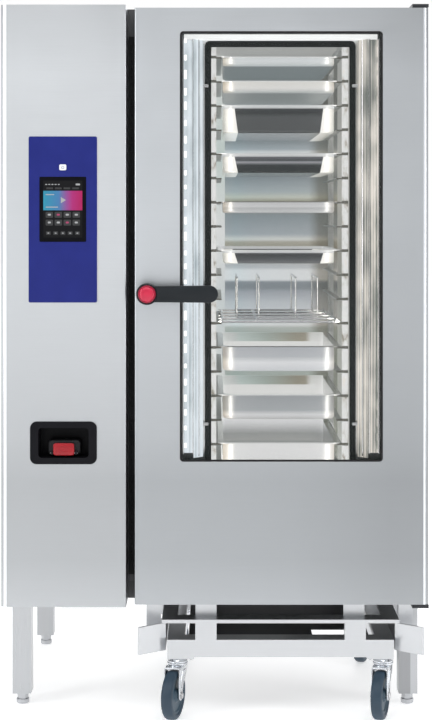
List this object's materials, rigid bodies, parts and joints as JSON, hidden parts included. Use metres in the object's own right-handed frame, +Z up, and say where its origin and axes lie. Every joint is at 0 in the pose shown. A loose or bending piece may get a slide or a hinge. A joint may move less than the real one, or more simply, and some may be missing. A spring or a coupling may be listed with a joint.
{
  "type": "combi steamer oven",
  "caption": "Floor-standing combi steamer with glazed hinged door, lever handle, touch panel, hand shower and a castored rack trolley docked inside.",
  "frame": {"origin": "on the floor under the centre of the overall box", "axes": "+Z up, the door and panel face -Y, +X to the viewer's right when facing the door"},
  "size_m": [1.1, 0.922, 1.87],
  "materials": {
    "casing_steel": "fine vertical brush",
    "gap_black": "matte",
    "chamber_steel": "satin",
    "mineral_wool": "fibrous",
    "seal_black": "matte",
    "motor_aluminium": "cast",
    "heater_tube": "heat tinted",
    "fitting_brass": "machined",
    "panel_blue": "satin",
    "screen_glass": "polished glass",
    "key_white": "satin",
    "board_green": "circuit board and housings",
    "dock_black": "satin",
    "shower_black": "satin",
    "trigger_red": "satin",
    "reel_grey": "matte",
    "hinge_dark": "satin",
    "door_glass": "clear",
    "light_cover": "opal",
    "handle_dark": "satin anthracite",
    "cap_red": "satin",
    "spindle_steel": "machined",
    "foot_steel": "machined",
    "trolley_steel": "satin",
    "pan_steel": "bright",
    "enamel_dark": "granite enamel",
    "wire_chrome": "polished",
    "caster_zinc": "bright zinc",
    "wheel_grey": "blue grey rubber"
  },
  "bodies": {
    "cabinet": {"base_frame": "casing_steel", "leg_tubes": "casing_steel", "left_side_panel": "casing_steel", "right_side_panel": "casing_steel", "rear_panel": "casing_steel", "top_panel": "casing_steel", "bottom_plate": "casing_steel", "front_cover": "casing_steel", "front_frame": "casing_steel", "gap_trim": "gap_black", "cavity_liner": "chamber_steel", "insulation": "mineral_wool", "fan_baffle": "chamber_steel", "door_seal": "seal_black", "fan_motors": "motor_aluminium", "heating_coils": "heater_tube", "steam_injector": "chamber_steel", "drain_box": "chamber_steel", "vent_pipe": "chamber_steel", "service_fittings": "fitting_brass", "control_panel": "panel_blue", "touch_display": "screen_glass", "electrical_tray": "board_green", "shower_dock": "dock_black", "hose_reel_bracket": "hinge_dark", "hinge_brackets": "hinge_dark", "trolley_base": "trolley_steel", "trolley_riser": "trolley_steel", "trolley_rack": "trolley_steel", "trolley_guides": "trolley_steel", "steel_pans": "pan_steel", "dark_trays": "enamel_dark", "wire_rack": "wire_chrome"},
    "door": {"hinge_blocks": "casing_steel", "door_outer_panel": "casing_steel", "door_inner_panel": "casing_steel", "door_glass": "door_glass", "glass_seals": "seal_black", "light_bars": "light_cover"},
    "handle": {"handle_lever": "handle_dark", "handle_cap": "cap_red", "handle_spindle": "spindle_steel"},
    "power_key": {"power_key": "key_white"},
    "hand_shower": {"hand_shower": "shower_black"},
    "shower_trigger": {"shower_trigger": "trigger_red"},
    "hose_reel": {"hose_reel_drum": "reel_grey"},
    "fan_upper": {"fan_wheel_upper": "chamber_steel"},
    "fan_lower": {"fan_wheel_lower": "chamber_steel"},
    "foot_front_left": {"foot_front_left": "foot_steel"},
    "caster_fork_front_left": {"caster_fork_front_left": "caster_zinc"},
    "caster_wheel_front_left": {"caster_wheel_front_left": "wheel_grey"},
    "foot_front_right": {"foot_front_right": "foot_steel"},
    "caster_fork_front_right": {"caster_fork_front_right": "caster_zinc"},
    "caster_wheel_front_right": {"caster_wheel_front_right": "wheel_grey"},
    "foot_rear_left": {"foot_rear_left": "foot_steel"},
    "caster_fork_rear_left": {"caster_fork_rear_left": "caster_zinc"},
    "caster_wheel_rear_left": {"caster_wheel_rear_left": "wheel_grey"},
    "foot_rear_right": {"foot_rear_right": "foot_steel"},
    "caster_fork_rear_right": {"caster_fork_rear_right": "caster_zinc"},
    "caster_wheel_rear_right": {"caster_wheel_rear_right": "wheel_grey"}
  },
  "joints": [
    {"name": "door_swing", "type": "hinge", "parent": "cabinet", "child": "door", "pos_m": [0.53, -0.369, 1.07], "axis": [0, 0, 1], "range_deg": [0, 110]},
    {"name": "handle_turn", "type": "hinge", "parent": "door", "child": "handle", "pos_m": [-0.172, -0.42, 1.104], "axis": [0, -1, 0], "range_deg": [0, 35], "stiffness_Nm_per_rad": 1, "springref_deg": -22.92},
    {"name": "power_key_press", "type": "slide", "parent": "cabinet", "child": "power_key", "axis": [0, 1, 0], "range_m": [0, 0.0015], "stiffness_N_per_m": 400, "springref_m": -0.002},
    {"name": "hand_shower_pull", "type": "slide", "parent": "cabinet", "child": "hand_shower", "axis": [0, -1, 0], "range_m": [0, 0.25]},
    {"name": "shower_trigger_press", "type": "hinge", "parent": "hand_shower", "child": "shower_trigger", "pos_m": [-0.388, -0.3745, 0.692], "axis": [-1, 0, 0], "range_deg": [0, 11], "stiffness_Nm_per_rad": 0.3, "springref_deg": -11.46},
    {"name": "hose_reel_spin", "type": "hinge", "parent": "cabinet", "child": "hose_reel", "pos_m": [-0.5, 0.02, 0.56], "axis": [1, 0, 0], "continuous": true},
    {"name": "fan_upper_spin", "type": "hinge", "parent": "cabinet", "child": "fan_upper", "pos_m": [-0.14, 0.055, 1.39], "axis": [1, 0, 0], "continuous": true},
    {"name": "fan_lower_spin", "type": "hinge", "parent": "cabinet", "child": "fan_lower", "pos_m": [-0.14, 0.055, 0.73], "axis": [1, 0, 0], "continuous": true},
    {"name": "foot_front_left_level", "type": "hinge", "parent": "cabinet", "child": "foot_front_left", "pos_m": [-0.514, -0.199, 0.03], "axis": [0, 0, 1], "continuous": true},
    {"name": "caster_swivel_front_left", "type": "hinge", "parent": "cabinet", "child": "caster_fork_front_left", "pos_m": [-0.098, -0.312, 0.14], "axis": [0, 0, 1], "continuous": true},
    {"name": "caster_spin_front_left", "type": "hinge", "parent": "caster_fork_front_left", "child": "caster_wheel_front_left", "pos_m": [-0.10823, -0.34547, 0.0625], "axis": [0.9563, -0.2924, 0], "continuous": true},
    {"name": "foot_front_right_level", "type": "hinge", "parent": "cabinet", "child": "foot_front_right", "pos_m": [0.514, -0.199, 0.03], "axis": [0, 0, 1], "continuous": true},
    {"name": "caster_swivel_front_right", "type": "hinge", "parent": "cabinet", "child": "caster_fork_front_right", "pos_m": [0.438, -0.312, 0.14], "axis": [0, 0, 1], "continuous": true},
    {"name": "caster_spin_front_right", "type": "hinge", "parent": "caster_fork_front_right", "child": "caster_wheel_front_right", "pos_m": [0.42777, -0.34547, 0.0625], "axis": [0.9563, -0.2924, 0], "continuous": true},
    {"name": "foot_rear_left_level", "type": "hinge", "parent": "cabinet", "child": "foot_rear_left", "pos_m": [-0.514, 0.406, 0.03], "axis": [0, 0, 1], "continuous": true},
    {"name": "caster_swivel_rear_left", "type": "hinge", "parent": "cabinet", "child": "caster_fork_rear_left", "pos_m": [-0.098, 0.236, 0.14], "axis": [0, 0, 1], "continuous": true},
    {"name": "caster_spin_rear_left", "type": "hinge", "parent": "caster_fork_rear_left", "child": "caster_wheel_rear_left", "pos_m": [-0.10823, 0.20253, 0.0625], "axis": [0.9563, -0.2924, 0], "continuous": true},
    {"name": "foot_rear_right_level", "type": "hinge", "parent": "cabinet", "child": "foot_rear_right", "pos_m": [0.514, 0.406, 0.03], "axis": [0, 0, 1], "continuous": true},
    {"name": "caster_swivel_rear_right", "type": "hinge", "parent": "cabinet", "child": "caster_fork_rear_right", "pos_m": [0.438, 0.236, 0.14], "axis": [0, 0, 1], "continuous": true},
    {"name": "caster_spin_rear_right", "type": "hinge", "parent": "caster_fork_rear_right", "child": "caster_wheel_rear_right", "pos_m": [0.42777, 0.20253, 0.0625], "axis": [0.9563, -0.2924, 0], "continuous": true}
  ]
}
